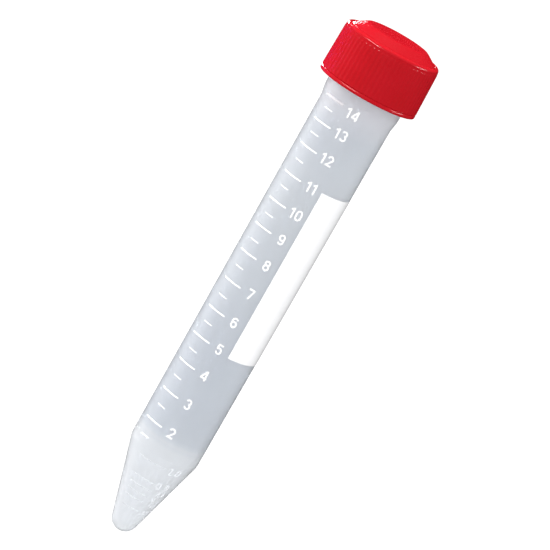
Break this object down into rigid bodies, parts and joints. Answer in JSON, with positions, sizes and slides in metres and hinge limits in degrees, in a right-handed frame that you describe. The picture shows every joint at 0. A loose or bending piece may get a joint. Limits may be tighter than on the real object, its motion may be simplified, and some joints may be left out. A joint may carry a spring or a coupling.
{
  "type": "screw-cap conical test tube",
  "caption": "Slim plastic test tube with a conical bottom, a graduated barrel, a writing panel and a ribbed screw cap that unscrews and lifts clear of the mouth.",
  "frame": {"origin": "lowest point of the tube's tip, on the tube's axis", "axes": "+Z along the tube's axis towards the cap; -Y is the printed front, and the writing panel lies to +X of it"},
  "size_m": [0.0222, 0.0222, 0.1203],
  "materials": {
    "frosted_polypropylene": "natural translucent polypropylene, fine satin frost",
    "red_plastic": "moulded red polyethylene, glossy rim and ribs, fine matte texture on the sloping shoulder",
    "soft_seal": "soft white elastomer",
    "white_print": "opaque white marking ink"
  },
  "bodies": {
    "tube": {"tube_body": "frosted_polypropylene", "writing_panel": "white_print"},
    "liner": {"seal_liner": "soft_seal"},
    "cap": {"screw_cap": "red_plastic"}
  },
  "joints": [
    {"name": "cap_rise", "type": "slide", "parent": "tube", "child": "liner", "axis": [0, 0, 1], "range_m": [0, 0.0136]},
    {"name": "cap_turn", "type": "hinge", "parent": "liner", "child": "cap", "pos_m": [0, 0, 0.1071], "axis": [0, 0, 1], "range_deg": [0, 1620]}
  ],
  "couplings": [
    {"joint": "cap_rise", "follows": "cap_turn", "m_per_rad": 0.00047746}
  ]
}
